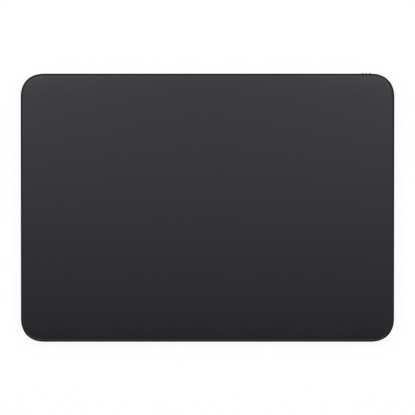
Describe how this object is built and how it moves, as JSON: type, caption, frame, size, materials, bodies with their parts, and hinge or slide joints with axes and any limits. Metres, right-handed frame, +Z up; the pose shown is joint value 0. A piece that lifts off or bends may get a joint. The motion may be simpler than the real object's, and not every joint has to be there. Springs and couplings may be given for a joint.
{
  "type": "trackpad",
  "caption": "Low wedge-shaped trackpad for a desk: a frosted black glass plate that clicks and taps in a dark aluminium tray, with a charging port and slide switch at the rear.",
  "frame": {"origin": "on the desk, under the middle of the footprint", "axes": "+X to the user's right, +Y towards the higher rear edge, +Z up"},
  "size_m": [0.16, 0.1154, 0.0109],
  "materials": {
    "anodised_aluminium": "fine bead-blasted dark anodising",
    "cover_plastic": "fine moulded grain",
    "adhesive_film": "thin film",
    "foot_rubber": "soft matt rubber",
    "frosted_glass": "etched matt glass, black behind",
    "circuit_board": "solder mask",
    "moulded_black": "moulded resin",
    "bright_steel": "rolled sheet",
    "dark_steel": "blackened",
    "silicone_gel": "clear soft gel",
    "polyimide_film": "amber film",
    "core_laminations": "stacked sheet",
    "copper_winding": "enamelled wire",
    "battery_foil": "laminated foil",
    "gilt_contacts": "gold plate",
    "green_plastic": "moulded",
    "white_plastic": "moulded"
  },
  "bodies": {
    "base": {"enclosure": "anodised_aluminium", "bottom_cover": "cover_plastic", "switch_guide": "cover_plastic", "cover_adhesive": "adhesive_film", "battery_adhesive": "adhesive_film", "foot_front_left": "foot_rubber", "foot_front_right": "foot_rubber", "foot_rear_left": "foot_rubber", "foot_rear_right": "foot_rubber", "battery_board": "circuit_board", "logic_board": "circuit_board", "port_board": "circuit_board", "switch_board": "circuit_board", "logic_chips": "moulded_black", "flex_plugs": "moulded_black", "port_tongue": "moulded_black", "flexure_front_left": "bright_steel", "flexure_front_right": "bright_steel", "flexure_rear_left": "bright_steel", "flexure_rear_right": "bright_steel", "shield_can": "bright_steel", "antenna": "bright_steel", "port_shell": "bright_steel", "switch_box": "bright_steel", "flexure_screws": "dark_steel", "drive_frame": "dark_steel", "drive_screws": "dark_steel", "logic_screws": "dark_steel", "port_strap": "dark_steel", "port_screws": "dark_steel", "switch_bracket": "dark_steel", "switch_screws": "dark_steel", "strain_gauges": "polyimide_film", "drive_flex": "polyimide_film", "battery_flex": "polyimide_film", "sensor_flex": "polyimide_film", "port_flex": "polyimide_film", "switch_flex": "polyimide_film", "drive_core_left": "core_laminations", "drive_core_right": "core_laminations", "drive_coil_left": "copper_winding", "drive_coil_right": "copper_winding", "battery_pouch": "battery_foil", "port_contacts": "gilt_contacts"},
    "force_buttons": {"load_buttons": "dark_steel"},
    "touch_plate": {"touch_glass": "frosted_glass", "glass_adhesive": "adhesive_film", "sensor_board": "circuit_board", "sensor_chips": "moulded_black", "pull_bar": "bright_steel", "gel_pads": "silicone_gel"},
    "power_slider": {"switch_knob": "cover_plastic", "switch_flag": "green_plastic", "switch_lever": "white_plastic"}
  },
  "joints": [
    {"name": "plate_press", "type": "slide", "parent": "base", "child": "force_buttons", "axis": [0, 0.0521, -0.9986], "range_m": [0, 0.0002], "stiffness_N_per_m": 10000, "springref_m": -0.00015, "deforming": ["flexure_front_left", "flexure_front_right", "flexure_rear_left", "flexure_rear_right", "sensor_flex"]},
    {"name": "haptic_tap", "type": "slide", "parent": "force_buttons", "child": "touch_plate", "axis": [0, 0.9986, 0.0521], "range_m": [-0.0001, 0.0001], "stiffness_N_per_m": 20000},
    {"name": "power_switch_slide", "type": "slide", "parent": "base", "child": "power_slider", "axis": [1, 0, 0], "range_m": [-0.0035, 0]}
  ]
}
